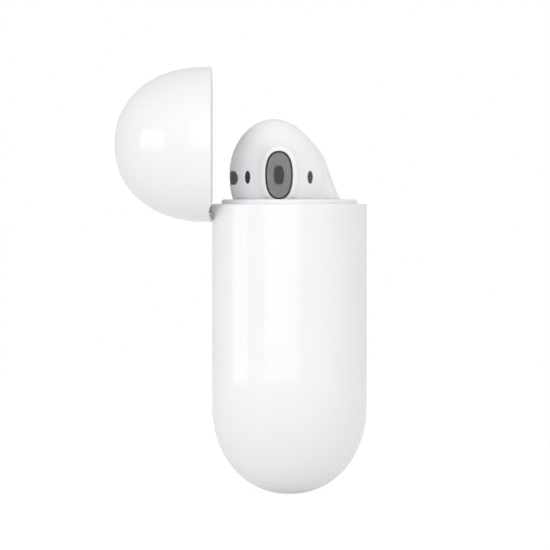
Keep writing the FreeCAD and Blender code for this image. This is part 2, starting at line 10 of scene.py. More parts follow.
import bmesh
import bpy
import numpy as np
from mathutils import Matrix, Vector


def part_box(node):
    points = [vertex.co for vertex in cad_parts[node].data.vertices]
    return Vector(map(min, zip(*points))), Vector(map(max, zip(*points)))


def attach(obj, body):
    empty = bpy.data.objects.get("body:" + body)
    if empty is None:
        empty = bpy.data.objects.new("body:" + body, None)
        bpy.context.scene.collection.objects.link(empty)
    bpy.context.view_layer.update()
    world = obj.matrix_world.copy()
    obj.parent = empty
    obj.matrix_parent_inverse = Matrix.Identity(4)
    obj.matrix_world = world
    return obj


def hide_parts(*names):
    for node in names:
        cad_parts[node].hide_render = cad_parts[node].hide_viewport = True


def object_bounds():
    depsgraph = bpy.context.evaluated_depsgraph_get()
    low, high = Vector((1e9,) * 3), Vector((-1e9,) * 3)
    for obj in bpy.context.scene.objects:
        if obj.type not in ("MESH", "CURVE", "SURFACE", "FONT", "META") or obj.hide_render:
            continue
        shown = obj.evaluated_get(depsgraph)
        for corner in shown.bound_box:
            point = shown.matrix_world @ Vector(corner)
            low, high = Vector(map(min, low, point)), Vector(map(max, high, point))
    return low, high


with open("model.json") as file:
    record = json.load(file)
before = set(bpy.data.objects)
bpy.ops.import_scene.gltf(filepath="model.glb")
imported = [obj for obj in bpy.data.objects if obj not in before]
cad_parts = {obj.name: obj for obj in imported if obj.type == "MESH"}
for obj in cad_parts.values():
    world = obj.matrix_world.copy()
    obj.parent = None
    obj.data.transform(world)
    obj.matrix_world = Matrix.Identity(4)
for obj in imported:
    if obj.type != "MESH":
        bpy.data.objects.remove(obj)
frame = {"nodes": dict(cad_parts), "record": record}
cad_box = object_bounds()

MM = 0.001

# ---- Places in millimetres, from the frame ----


def box_mm(node):
    """A CAD node's lowest and highest corners in millimetres."""
    low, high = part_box(node)
    return np.array(low) / MM, np.array(high) / MM


GRILLE_LOW, GRILLE_HIGH = box_mm("left_grille")
RING_LOW, RING_HIGH = box_mm("left_stem_ring")
CAP_LOW, CAP_HIGH = box_mm("left_cap")
HOUSING_LOW, HOUSING_HIGH = box_mm("left_housing")
VENT_LOW, VENT_HIGH = box_mm("left_rear_vent")
MIC_LOW, MIC_HIGH = box_mm("left_outer_mic_mesh")

STEM = (RING_LOW + RING_HIGH) / 2
STEM_TOP_Z = 38.3
NECK_ROOT_Z = 38.0
NECK_ROOT_RADIUS = 2.6
STEM_RADIUS = (2.66, 2.9)
HEAD_TOP_Z = 51.7
SPLIT_X = CAP_HIGH[0]
SEAM_HALF = 0.025
BULB_RADII = np.array([6.2, 6.15, 7.85])
BULB = np.array([-8.5, 2.17, HEAD_TOP_Z - BULB_RADII[2]])
NECK = np.array([-6.6, -0.76, 44.0])
NECK_RADIUS = 4.59
NECK_BLEND = 2.0
STEM_BLEND = 1.0
OUTLET = np.array([CAP_LOW[0], (GRILLE_LOW[1] + GRILLE_HIGH[1]) / 2, (GRILLE_LOW[2] + GRILLE_HIGH[2]) / 2])
OUTLET_ROOT_X = -10.5
OUTLET_LONGEST = 1.3
OUTLET_TIP_HALF = (2.3, 3.75)
OUTLET_ROOT_HALF = (4.2, 5.6)
OUTLET_BLEND = 1.1
OUTLET_ROUND = 0.5
OVAL_POWER = 2.35
ELLIPSE_POWER = 2.0
GRILLE_HALF = (1.83, 3.24)
GRILLE_DEPTH = 0.34
GRILLE_DOME = 0.12
GRILLE_LIFT = 0.06
GRILLE_RIM_GAP = 0.06
GRILLE_REACH = 4.2
WELL_BACK = 3
CLOTH_BEHIND = 0.16
CLOTH_SKIRT = 0.2
WINDOW_Z = 43.65
WINDOW_HALF = (0.38, 0.92)
WINDOW_SINK = 0.05
WINDOW_THICK = 0.3
WINDOW_GAP = 0.02
WINDOW_YS = (5.78, -2.85)
VENT_DROP = 0.08
VENT_HALF = ((VENT_HIGH[0] - VENT_LOW[0]) / 2, 0.92)
VENT_MIDDLE = ((VENT_HIGH[0] + VENT_LOW[0]) / 2, WINDOW_Z - VENT_DROP)
VENT_REACH = 3.2
MIC_HALF = (0.5, 1.3)
MIC_REACH = 1.6
MIC_MIDDLE = ((MIC_LOW[1] + MIC_HIGH[1]) / 2, (MIC_LOW[2] + MIC_HIGH[2]) / 2)
WELL_DEPTH = 0.3
EDGE_BLEND = 0.12
WIRE_PITCH = 0.283
WIRE_RADIUS = 0.054
WIRE_WAVE = 0.8 * WIRE_RADIUS
STEPS_PER_PITCH = 4
FEWEST_WIRE_POINTS = 4
MESH_SINK = 0.16
# The dark ring round the grille is painted shade: it stands in for the shadow inside the recess's rim and hides the
# wires' cut ends.
SHADE_RING_RADIUS = 0.13
SHADE_RING_SINK = 0.16
SHADE_RING_INSET = 0.03
SHADE_RING_STEPS = 96

# Where points start before they slide onto the earbud
WINDOW_START_X = OUTLET[0] - 1
VENT_START_Y = BULB[1] + 9
MIC_START_X = NECK[0] + 7

# The grid that the shells are meshed on
GRID_STEP = 0.14
STEM_STEP = 0.6
GRID_MARGIN = 0.5
WAIST_Z = 35.0
WAIST_GAP = 0.3
FOOT_STEPS = np.array([-0.3, -0.1, 0.1, 0.3])
FOOT_TOP = 0.9
PAST_SPLIT_CELLS = 2
WALL_CELLS = 1.5

# ---- The earbud's form, as a distance in millimetres that is negative inside ----


def smooth_min(a, b, blend):
    """The union of two forms, with their crease filled over a width."""
    mix = np.clip(0.5 + 0.5 * (b - a) / blend, 0, 1)
    return b * (1 - mix) + a * mix - blend * mix * (1 - mix)


def smooth_max(a, b, blend):
    """The overlap of two forms, with its edge rounded over a width."""
    return -smooth_min(-a, -b, blend)


def ellipsoid(p, centre, radii):
    """A near distance to an ellipsoid."""
    k0 = np.linalg.norm((p - centre) / radii, axis=-1)
    k1 = np.linalg.norm((p - centre) / radii**2, axis=-1)
    return k0 * (k0 - 1) / np.maximum(k1, 1e-9)


def limb(p, start, start_radius, end, end_radius):
    """The distance to a bar with ball ends of two sizes."""
    along = end - start
    length = np.linalg.norm(along)
    unit = along / length
    lean = (start_radius - end_radius) / length
    flank = math.sqrt(1 - lean * lean)
    reach = (p - start) @ unit
    out = np.linalg.norm(p - start - reach[..., None] * unit, axis=-1)
    side = reach * flank + out * -lean
    on_flank = out * flank + reach * lean - start_radius
    at_start = np.hypot(reach, out) - start_radius
    at_end = np.hypot(reach - length, out) - end_radius
    return np.where(side < 0, at_start, np.where(side > length * flank, at_end, on_flank))


def oval(u, v, half_u, half_v, power=OVAL_POWER):
    """A near distance to an oval between an ellipse and a rounded rectangle."""
    ratio = (np.abs(u / half_u) ** power + np.abs(v / half_v) ** power) ** (1 / power)
    return (ratio - 1) * np.minimum(half_u, half_v)


def outlet(p):
    """The tapered oval spout around the sound outlet."""
    run = np.clip((p[..., 0] - OUTLET[0]) / (OUTLET_ROOT_X - OUTLET[0]), 0, OUTLET_LONGEST)
    half_y = OUTLET_TIP_HALF[0] + (OUTLET_ROOT_HALF[0] - OUTLET_TIP_HALF[0]) * run
    half_z = OUTLET_TIP_HALF[1] + (OUTLET_ROOT_HALF[1] - OUTLET_TIP_HALF[1]) * run
    flank = oval(p[..., 1] - OUTLET[1], p[..., 2] - OUTLET[2], half_y, half_z)
    spout = smooth_max(flank, OUTLET[0] - p[..., 0], OUTLET_ROUND * 2)
    return np.maximum(spout, p[..., 0] - BULB[0])


def smooth_bud(p):
    """The earbud without its openings."""
    stem_foot = np.array([STEM[0], STEM[1], 0.0])
    stem_top = np.array([STEM[0], STEM[1], STEM_TOP_Z])
    bulb = ellipsoid(p, BULB, BULB_RADII)
    neck = limb(p, np.array([STEM[0], STEM[1], NECK_ROOT_Z]), NECK_ROOT_RADIUS, NECK, NECK_RADIUS)
    head = smooth_min(bulb, neck, NECK_BLEND)
    head = smooth_min(head, outlet(p), OUTLET_BLEND)
    stem = limb(p, stem_foot, STEM_RADIUS[0], stem_top, STEM_RADIUS[1])
    return smooth_min(head, stem, STEM_BLEND)


def carve(form, skin, opening, depth):
    """Sinks an opening into a form, down to a depth under its skin."""
    return smooth_max(form, -smooth_max(opening, -(skin + depth), EDGE_BLEND), EDGE_BLEND)


def stadium(u, v, half_u, half_v):
    """The distance to a slot with round ends, long along u."""
    reach = half_u - half_v
    return np.hypot(np.maximum(np.abs(u) - reach, 0), v) - half_v


def bud(p):
    """The earbud with its openings."""
    x, y, z = p[..., 0], p[..., 1], p[..., 2]
    skin = smooth_bud(p)
    form = skin
    grille = np.maximum(oval(y - OUTLET[1], z - OUTLET[2], *GRILLE_HALF), x - OUTLET[0] - WELL_BACK)
    form = carve(form, OUTLET[0] - x, grille, GRILLE_DEPTH)
    for window_y in WINDOW_YS:
        window = np.maximum(oval(y - window_y, z - WINDOW_Z, *WINDOW_HALF, ELLIPSE_POWER), x - BULB[0])
        form = carve(form, skin, window, WINDOW_SINK * 2)
    vent = np.maximum(stadium(x - VENT_MIDDLE[0], z - VENT_MIDDLE[1], *VENT_HALF), BULB[1] - y)
    form = carve(form, skin, vent, WELL_DEPTH)
    mic = np.maximum(stadium(z - MIC_MIDDLE[1], y - MIC_MIDDLE[0], MIC_HALF[1], MIC_HALF[0]), NECK[0] - x)
    form = carve(form, skin, mic, WELL_DEPTH)
    return smooth_max(form, RING_HIGH[2] - z, EDGE_BLEND)


def gradient(form, p):
    """The outward direction of a form at points."""
    step = 0.01
    slopes = [form(p + step * axis) - form(p - step * axis) for axis in np.eye(3)]
    return np.stack(slopes, axis=-1) / (2 * step)


def surface_nets(form, xs, ys, zs):
    """A smooth quad mesh of a form's surface on a grid with uneven spacing."""
    grid = np.stack(np.meshgrid(xs, ys, zs, indexing="ij"), axis=-1)
    value = np.stack([form(plane) for plane in grid])
    inside = value < 0
    shape = tuple(n - 1 for n in value.shape)
    corners = [(i, j, k) for i in (0, 1) for j in (0, 1) for k in (0, 1)]

    def at(array, corner):
        return array[tuple(slice(c, c + n) for c, n in zip(corner, shape))]

    filled = sum(at(inside, corner).astype(int) for corner in corners)
    cells = np.argwhere((filled > 0) & (filled < 8))
    number = np.full(shape, -1)
    number[tuple(cells.T)] = np.arange(len(cells))
    total = np.zeros((len(cells), 3))
    crossings = np.zeros(len(cells))
    for corner in corners:
        for axis in range(3):
            if corner[axis]:
                continue
            other = tuple(c + (a == axis) for a, c in enumerate(corner))
            first = at(value, corner)[tuple(cells.T)]
            second = at(value, other)[tuple(cells.T)]
            crossed = (first < 0) != (second < 0)
            share = np.where(crossed, first / np.where(crossed, first - second, 1), 0)
            place = np.array(corner, float) + share[:, None] * np.eye(3)[axis]
            total += place * crossed[:, None]
            crossings += crossed
    place = cells + total / crossings[:, None]
    points = np.stack([np.interp(place[:, a], np.arange(len(c)), c) for a, c in enumerate((xs, ys, zs))], axis=-1)

    quads = []
    for axis in range(3):
        side, up = (axis + 1) % 3, (axis + 2) % 3
        low = [slice(1, -1)] * 3
        high = [slice(1, -1)] * 3
        low[axis], high[axis] = slice(0, -1), slice(1, None)
        first, second = inside[tuple(low)], inside[tuple(high)]
        base = np.argwhere(first != second)
        outward = first[tuple(base.T)]
        base = base + np.array([0 if a == axis else 1 for a in range(3)])
        ring = []
        for back_side, back_up in ((1, 1), (0, 1), (0, 0), (1, 0)):
            cell = base.copy()
            cell[:, side] -= back_side
            cell[:, up] -= back_up
            ring.append(number[tuple(cell.T)])
        ring = np.stack(ring, axis=-1)
        quads.append(np.where(outward[:, None], ring, ring[:, ::-1]))
    return points, np.concatenate(quads)


def settle(form, points, rounds=4):
    """Moves points onto a form's surface."""
    least_slope = 0.05
    for _ in range(rounds):
        slope = gradient(form, points)
        size = np.maximum((slope**2).sum(-1), least_slope)
        points = points - slope * (form(points) / size)[:, None]
    return points


def march(start, direction, level=0.0, rounds=60):
    """Slides points along a direction until they are at a level of the smooth earbud."""
    points = start.copy()
    for _ in range(rounds):
        points = points + (smooth_bud(points) - level)[:, None] * direction
    return points


# ---- Materials ----

NOISE_LOW, NOISE_HIGH = 0.3, 0.7
GLOSS_PER_MM = 0.6
PLASTIC_IOR = 1.58
COAT_ROUGHNESS = 0.03
GLOW_COLOUR_REACH = (1.0, 0.9, 0.85)
GLOW_REACH_MM = 0.6


def node_material(name):
    """A new material with its tree, its shader and its object coordinates."""
    material = bpy.data.materials.new(name)
    material.use_nodes = True
    tree = material.node_tree
    shader = tree.nodes["Principled BSDF"]
    coordinates = tree.nodes.new("ShaderNodeTexCoord").outputs["Object"]
    return material, tree, shader, coordinates


def noise(tree, coordinates, scale, detail=3.0, stretch=(1, 1, 1)):
    """Noise of so many features per millimetre, stretched along an axis."""
    mapping = tree.nodes.new("ShaderNodeMapping")
    mapping.inputs["Scale"].default_value = [s / MM for s in stretch]
    tree.links.new(coordinates, mapping.inputs["Vector"])
    texture = tree.nodes.new("ShaderNodeTexNoise")
    texture.inputs["Scale"].default_value = scale
    texture.inputs["Detail"].default_value = detail
    tree.links.new(mapping.outputs["Vector"], texture.inputs["Vector"])
    return texture.outputs["Fac"]


def ramp(tree, factor, low, high):
    """A blend between two colours."""
    node = tree.nodes.new("ShaderNodeValToRGB")
    first, last = node.color_ramp.elements
    first.position, last.position = NOISE_LOW, NOISE_HIGH
    first.color, last.color = (*low, 1), (*high, 1)
    tree.links.new(factor, node.inputs["Fac"])
    return node.outputs["Color"]


def spread(tree, factor, low, high):
    """A number that varies between two values."""
    node = tree.nodes.new("ShaderNodeMapRange")
    node.inputs["From Min"].default_value = NOISE_LOW
    node.inputs["From Max"].default_value = NOISE_HIGH
    node.inputs["To Min"].default_value = low
    node.inputs["To Max"].default_value = high
    tree.links.new(factor, node.inputs["Value"])
    return node.outputs["Result"]


def bump(tree, shader, height, depth_mm):
    """Relief of a depth in millimetres."""
    node = tree.nodes.new("ShaderNodeBump")
    node.inputs["Strength"].default_value = 1.0
    node.inputs["Distance"].default_value = depth_mm * MM
    tree.links.new(height, node.inputs["Height"])
    tree.links.new(node.outputs["Normal"], shader.inputs["Normal"])


def plastic(name, low, high, roughness, flow_mm=9.0, grain_mm=0.35, relief=0.0006, coat=0.0, glow=0.0):
    """Moulded plastic: faint cloudiness from its flow, uneven gloss and a fine skin."""
    material, tree, shader, coordinates = node_material(name)
    flow = noise(tree, coordinates, 1 / flow_mm)
    grain = noise(tree, coordinates, 1 / grain_mm, 4.0)
    tree.links.new(ramp(tree, flow, low, high), shader.inputs["Base Color"])
    tree.links.new(spread(tree, noise(tree, coordinates, GLOSS_PER_MM), *roughness), shader.inputs["Roughness"])
    bump(tree, shader, grain, relief)
    shader.inputs["IOR"].default_value = PLASTIC_IOR
    shader.inputs["Coat Weight"].default_value = coat
    shader.inputs["Coat Roughness"].default_value = COAT_ROUGHNESS
    if glow:
        shader.inputs["Subsurface Weight"].default_value = glow
        shader.inputs["Subsurface Radius"].default_value = GLOW_COLOUR_REACH
        shader.inputs["Subsurface Scale"].default_value = GLOW_REACH_MM * MM
    return material


def metal(name, low, high, roughness, stretch=(1, 1, 1), grain_mm=0.08, relief=0.001):
    """Metal with streaks from its finishing, drawn out along an axis."""
    material, tree, shader, coordinates = node_material(name)
    streaks = noise(tree, coordinates, 1 / grain_mm, 5.0, stretch)
    tree.links.new(ramp(tree, streaks, low, high), shader.inputs["Base Color"])
    tree.links.new(spread(tree, streaks, *roughness), shader.inputs["Roughness"])
    bump(tree, shader, streaks, relief)
    shader.inputs["Metallic"].default_value = 1.0
    return material


ALONG_X = (0.05, 1, 1)
MATERIALS = {
    "white_plastic": plastic("glossy white", (0.88, 0.882, 0.892), (0.9, 0.902, 0.912), (0.08, 0.13), coat=0.3,
                             glow=0.12),
    "bud_white": plastic("glossy white of the earbuds", (0.92, 0.922, 0.93), (0.94, 0.942, 0.95), (0.07, 0.11),
                         flow_mm=6.0, coat=0.3, glow=0.12),
    "button_white": plastic("satin white", (0.82, 0.822, 0.83), (0.85, 0.852, 0.86), (0.25, 0.34), coat=0.1),
    "carrier_black": plastic("moulded black", (0.012, 0.012, 0.013), (0.022, 0.022, 0.024), (0.42, 0.58)),
    "switch_black": plastic("switch black", (0.014, 0.014, 0.015), (0.026, 0.026, 0.028), (0.4, 0.52)),
    "driver_black": plastic("driver black", (0.02, 0.02, 0.022), (0.035, 0.035, 0.037), (0.4, 0.55)),
    "battery_wrap": plastic("battery film", (0.05, 0.05, 0.055), (0.08, 0.08, 0.085), (0.25, 0.4), relief=0.01),
    "board_dark": plastic("solder mask", (0.006, 0.028, 0.02), (0.01, 0.04, 0.03), (0.28, 0.38), grain_mm=0.2,
                          relief=0.006),
    "flex_amber": plastic("polyimide", (0.32, 0.13, 0.02), (0.4, 0.18, 0.035), (0.22, 0.34)),
    "sensor_black": plastic("tinted window", (0.006, 0.006, 0.008), (0.012, 0.012, 0.016), (0.04, 0.08), coat=0.6),
    "light_pipe": plastic("frosted light pipe", (0.8, 0.8, 0.79), (0.86, 0.86, 0.85), (0.2, 0.3), glow=0.5),
    "led_resin": plastic("lamp resin", (0.7, 0.6, 0.2), (0.8, 0.7, 0.3), (0.2, 0.3)),
    "hinge_steel": metal("brushed hinge steel", (0.36, 0.36, 0.37), (0.5, 0.5, 0.51), (0.24, 0.4), ALONG_X),
    "pin_steel": metal("ground pin steel", (0.4, 0.4, 0.42), (0.52, 0.52, 0.54), (0.2, 0.3), (1, 0.1, 0.1)),
    "trim_steel": metal("polished trim steel", (0.62, 0.62, 0.63), (0.7, 0.7, 0.71), (0.08, 0.16), relief=0.0004),
    "port_steel": metal("stamped port steel", (0.32, 0.32, 0.33), (0.42, 0.42, 0.43), (0.26, 0.4), (1, 1, 0.1)),
    "shield_can": metal("tinned steel", (0.5, 0.5, 0.5), (0.62, 0.62, 0.61), (0.28, 0.42), grain_mm=0.3),
    "magnet_nickel": metal("nickel plate", (0.55, 0.53, 0.5), (0.66, 0.64, 0.6), (0.14, 0.26), grain_mm=0.4),
    "contact_gold": metal("gold plate", (0.78, 0.52, 0.17), (0.88, 0.62, 0.24), (0.16, 0.26), grain_mm=0.2),
    "grille_mesh": metal("black steel wire", (0.15, 0.16, 0.158), (0.26, 0.274, 0.27), (0.26, 0.42)),
    "vent_mesh": metal("dark vent wire", (0.2, 0.2, 0.204), (0.34, 0.342, 0.346), (0.3, 0.44)),
}
CLOTH = plastic("black acoustic cloth", (0.004, 0.004, 0.004), (0.012, 0.013, 0.013), (0.7, 0.9), grain_mm=0.1,
                relief=0.02)


def finish_cad_nodes():
    """Gives each CAD node the material of its slot in the record."""
    for part in frame["record"]["subparts"]:
        for material_slot in frame["nodes"][part["node"]].material_slots:
            material_slot.link = "OBJECT"
            material_slot.material = MATERIALS[part["material_slot"]]


# ---- Pieces ----


def new_piece(name, points, faces, material_slot, body, mirror=False):
    """A piece from points in millimetres, on a body, in the material of a slot."""
    points = np.array(points, float)
    faces = [tuple(face) for face in faces]
    if mirror:
        points = points * np.array([-1.0, 1.0, 1.0])
        faces = [face[::-1] for face in faces]
    mesh = bpy.data.meshes.new(name)
    mesh.from_pydata((points * MM).tolist(), [], faces)
    mesh.polygons.foreach_set("use_smooth", [True] * len(mesh.polygons))
    mesh.materials.append(MATERIALS[material_slot])
    piece = bpy.data.objects.new(name, mesh)
    bpy.context.scene.collection.objects.link(piece)
    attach(piece, body)
    return piece


def cut_flat(points, faces, plane_x, keep_low):
    """Cuts a closed mesh at a plane across X and closes the cut."""
    work = bmesh.new()
    verts = [work.verts.new(p) for p in points]
    for face in faces:
        work.faces.new([verts[i] for i in face])
    everything = list(work.verts) + list(work.edges) + list(work.faces)
    made = bmesh.ops.bisect_plane(work, geom=everything, plane_co=(plane_x, 0, 0), plane_no=(1, 0, 0),
                                  clear_outer=keep_low, clear_inner=not keep_low)
    rim = [item for item in made["geom_cut"] if isinstance(item, bmesh.types.BMEdge)]
    bmesh.ops.edgeloop_fill(work, edges=rim)
    bmesh.ops.recalc_face_normals(work, faces=work.faces)
    work.verts.index_update()
    cut_points = np.array([v.co for v in work.verts])
    cut_faces = [[v.index for v in f.verts] for f in work.faces]
    work.free()
    return cut_points, cut_faces


def spaced(low, high, step):
    """Grid lines from low to at least high."""
    return np.arange(low, high + step, step)


def half_shell(xs, zs, side):
    """The earbud on one side of the split: the cap where side is -1, the housing where it is 1."""
    ys = spaced(HOUSING_LOW[1] - GRID_MARGIN, HOUSING_HIGH[1] + GRID_MARGIN, GRID_STEP)
    wall_x = SPLIT_X - side * WALL_CELLS * GRID_STEP

    def walled(p):
        return np.maximum(bud(p), side * (wall_x - p[..., 0]))

    points, faces = surface_nets(walled, xs, ys, zs)
    on_skin = np.abs(points[:, 0] - wall_x) > GRID_STEP
    points[on_skin] = settle(bud, points[on_skin])
    return cut_flat(points, faces, SPLIT_X + side * SEAM_HALF, keep_low=side < 0)


def head_shells():
    """The cap and the housing of the left earbud, as points and faces."""
    past_split = PAST_SPLIT_CELLS * GRID_STEP
    cap_xs = spaced(OUTLET[0] - GRID_MARGIN, SPLIT_X + past_split, GRID_STEP)
    housing_xs = spaced(SPLIT_X - past_split, HOUSING_HIGH[0] + GRID_MARGIN, GRID_STEP)
    foot_zs = RING_HIGH[2] + FOOT_STEPS
    stem_zs = np.arange(RING_HIGH[2] + FOOT_TOP, WAIST_Z - WAIST_GAP, STEM_STEP)
    head_zs = spaced(WAIST_Z, HEAD_TOP_Z + GRID_MARGIN, GRID_STEP)
    cap = half_shell(cap_xs, head_zs, -1)
    housing = half_shell(housing_xs, np.concatenate([foot_zs, stem_zs, head_zs]), 1)
    return cap, housing


def section(path, radius, right, up, sides):
    """Rings of points around a path, one ring for each of its points."""
    turns = np.arange(sides) * 2 * math.pi / sides
    rings = path[:, None] + radius * (
        np.cos(turns)[None, :, None] * right[:, None] + np.sin(turns)[None, :, None] * up[:, None]
    )
    return rings.reshape(-1, 3)


def ring_faces(count, sides, closed=False, flipped=False):
    """The quads between rings of points. A closed run joins its last ring to its first."""
    faces = []
    for i in range(count if closed else count - 1):
        for j in range(sides):
            k, m = (j + 1) % sides, (i + 1) % count
            near, far = (i * sides + j, i * sides + k), (m * sides + j, m * sides + k)
            if flipped:
                faces.append((near[0], near[1], far[1], far[0]))
            else:
                faces.append((near[0], far[0], far[1], near[1]))
    return faces


def tube(path, radius, sides=6):
    """A closed round wire along a path."""
    forward = np.gradient(path, axis=0)
    forward /= np.linalg.norm(forward, axis=1)[:, None]
    helper = np.eye(3)[np.argmin(np.abs(forward[0]))]
    right = np.cross(forward, helper)
    right /= np.linalg.norm(right, axis=1)[:, None]
    last = (len(path) - 1) * sides
    faces = ring_faces(len(path), sides)
    faces.append(tuple(range(sides)))
    faces.append(tuple(last + j for j in reversed(range(sides))))
    return section(path, radius, right, np.cross(forward, right), sides), faces


def loop_tube(path, radius, sides=8):
    """A closed ring of round section around a loop that lies in a plane across X."""
    forward = np.roll(path, -1, axis=0) - np.roll(path, 1, axis=0)
    forward /= np.linalg.norm(forward, axis=1)[:, None]
    along_x = np.broadcast_to(np.eye(3)[0], path.shape)
    out = np.cross(forward, along_x)
    return section(path, radius, out, along_x, sides), ring_faces(len(path), sides, closed=True)


def woven(outline, reach, to_surface):
    """A plain weave of wires at 45 degrees, cut to an outline and laid on a surface."""
    points, faces = [], []
    count = int(reach / WIRE_PITCH) + 1
    step = WIRE_PITCH / STEPS_PER_PITCH
    run = np.arange(-reach, reach + step, step)
    for direction in (0, 1):
        for line in range(-count, count + 1):
            offset = line * WIRE_PITCH
            height = WIRE_WAVE * np.cos(run / WIRE_PITCH * math.pi + math.pi * (line + direction))
            rising, falling = (run + offset) / math.sqrt(2), (run - offset) / math.sqrt(2)
            u, v = (rising, -falling) if direction else (falling, rising)
            within = outline(u, v) < 0
            if within.sum() < FEWEST_WIRE_POINTS:
                continue
            path = to_surface(u[within], v[within], height[within])
            wire_points, wire_faces = tube(path, WIRE_RADIUS)
            faces += [tuple(i + len(points) for i in face) for face in wire_faces]
            points += wire_points.tolist()
    return points, faces


def grille_surface(u, v, height):
    """The domed sound grille, just inside the outlet's rim."""
    dome = GRILLE_DOME * (1 - (u / GRILLE_HALF[0]) ** 2) * (1 - (v / GRILLE_HALF[1]) ** 2)
    x = OUTLET[0] + GRILLE_DEPTH - GRILLE_LIFT - dome - height
    return np.stack([x, OUTLET[1] + u, OUTLET[2] + v], axis=-1)


def laid_on_skin(start, direction, height):
    """Points slid along a direction to just under the skin, then raised along its normal."""
    points = march(start, np.array(direction), -MESH_SINK)
    outward = gradient(smooth_bud, points)
    outward /= np.linalg.norm(outward, axis=1)[:, None]
    return points + outward * height[:, None]


def vent_surface(u, v, height):
    """The rear vent's mesh, which follows the back of the bulb."""
    start = np.stack([VENT_MIDDLE[0] + u, np.full_like(u, VENT_START_Y), VENT_MIDDLE[1] + v], axis=-1)
    return laid_on_skin(start, (0.0, -1.0, 0.0), height)


def mic_surface(u, v, height):
    """The outer microphone's mesh, which follows the neck."""
    start = np.stack([np.full_like(u, MIC_START_X), MIC_MIDDLE[0] + u, MIC_MIDDLE[1] + v], axis=-1)
    return laid_on_skin(start, (-1.0, 0.0, 0.0), height)


def oval_rim(turns):
    """The two coordinates of the unit oval at angles round it."""
    cosine, sine = np.cos(turns), np.sin(turns)
    power = 2 / OVAL_POWER
    return np.sign(cosine) * np.abs(cosine) ** power, np.sign(sine) * np.abs(sine) ** power


def grille_cloth():
    """The domed acoustic cloth behind the grille's wires. Only its middle stands clear of the well's floor."""
    rings, sides = 10, 64
    turns = np.arange(sides) * 2 * math.pi / sides
    rim_u, rim_v = oval_rim(turns)
    front, back = -CLOTH_BEHIND, -CLOTH_BEHIND - CLOTH_SKIRT
    layers = [(ring / rings, front) for ring in range(1, rings + 1)] + [(1.0, back)]
    points = []
    for share, height in layers:
        u, v = share * rim_u * GRILLE_HALF[0], share * rim_v * GRILLE_HALF[1]
        points += grille_surface(u, v, height).tolist()
    front_middle = len(points)
    points.append(grille_surface(0.0, 0.0, front).tolist())
    rim_point = grille_surface(0.0, GRILLE_HALF[1], back)
    points.append([rim_point[0], rim_point[1], OUTLET[2]])
    last = rings * sides
    faces = ring_faces(len(layers), sides, flipped=True)
    faces += [((j + 1) % sides, j, front_middle) for j in range(sides)]
    faces += [(last + j, last + (j + 1) % sides, front_middle + 1) for j in range(sides)]
    return points, faces


def grille_shade_ring():
    """A thin dark ring round the grille's opening: painted shade for the shadow inside the recess's rim, which also
    hides the wires' cut ends.
    """
    rim_u, rim_v = oval_rim(np.linspace(0, 2 * math.pi, SHADE_RING_STEPS + 1)[:-1])
    y = OUTLET[1] + (GRILLE_HALF[0] - SHADE_RING_INSET) * rim_u
    z = OUTLET[2] + (GRILLE_HALF[1] - SHADE_RING_INSET) * rim_v
    x = np.full_like(y, OUTLET[0] + GRILLE_DEPTH - SHADE_RING_SINK)
    return loop_tube(np.stack([x, y, z], axis=-1), SHADE_RING_RADIUS)


def window_lens(window_y):
    """A tinted window, a thin crowned oval that follows the skin."""
    rings, sides = 8, 40
    inward = np.array([1.0, 0.0, 0.0])
    turns = np.arange(sides) * 2 * math.pi / sides
    layers = [(ring / rings, WINDOW_SINK) for ring in range(1, rings + 1)]
    layers += [(1.0, WINDOW_THICK), (0.5, WINDOW_THICK)]
    points = []
    for share, sink in layers:
        y = window_y + share * (WINDOW_HALF[0] - WINDOW_GAP) * np.cos(turns)
        z = WINDOW_Z + share * (WINDOW_HALF[1] - WINDOW_GAP) * np.sin(turns)
        start = np.stack([np.full_like(y, WINDOW_START_X), y, z], axis=-1)
        points += march(start, inward, -sink).tolist()
    middle = len(points)
    points += march(np.array([[WINDOW_START_X, window_y, WINDOW_Z]]), inward, -WINDOW_SINK).tolist()
    last = (len(layers) - 1) * sides
    faces = ring_faces(len(layers), sides, flipped=True)
    faces += [((j + 1) % sides, j, middle) for j in range(sides)]
    faces.append(tuple(last + j for j in range(sides)))
    return points, faces


def make_earbuds():
    """The detailed pieces of both earbuds."""
    cap, housing = head_shells()
    grille = woven(lambda u, v: oval(u, v, *GRILLE_HALF) + GRILLE_RIM_GAP, GRILLE_REACH, grille_surface)
    vent = woven(lambda u, v: stadium(u, v, *VENT_HALF), VENT_REACH, vent_surface)
    mic = woven(lambda u, v: stadium(v, u, MIC_HALF[1], MIC_HALF[0]), MIC_REACH, mic_surface)
    windows = [window_lens(y) for y in WINDOW_YS]
    cloth, shade_ring = grille_cloth(), grille_shade_ring()
    for side, mirror in (("left", False), ("right", True)):
        body = f"{side}_earbud"
        shell = new_piece(f"{side}_cap_shell", *cap, "bud_white", body, mirror)
        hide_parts(f"{side}_cap")
        shell = new_piece(f"{side}_stem_shell", *housing, "bud_white", body, mirror)
        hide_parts(f"{side}_housing")
        wires = new_piece(f"{side}_grille_wires", *grille, "grille_mesh", body, mirror)
        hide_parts(f"{side}_grille")
        backing = new_piece(f"{side}_grille_cloth", *cloth, "driver_black", body, mirror)
        backing.data.materials[0] = CLOTH
        # A dark ring of painted shade round the grille, where the recess's rim is in shadow.
        new_piece(f"{side}_grille_shade_ring", *shade_ring, "carrier_black", body, mirror)
        wires = new_piece(f"{side}_vent_wires", *vent, "vent_mesh", body, mirror)
        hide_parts(f"{side}_rear_vent")
        wires = new_piece(f"{side}_mic_wires", *mic, "vent_mesh", body, mirror)
        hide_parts(f"{side}_outer_mic_mesh")
        for index, window in enumerate(windows):
            lens = new_piece(f"{side}_window_{index}", *window, "sensor_black", body, mirror)
            if index == 0:
                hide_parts(f"{side}_sensor_windows")


# ---- Studio ----

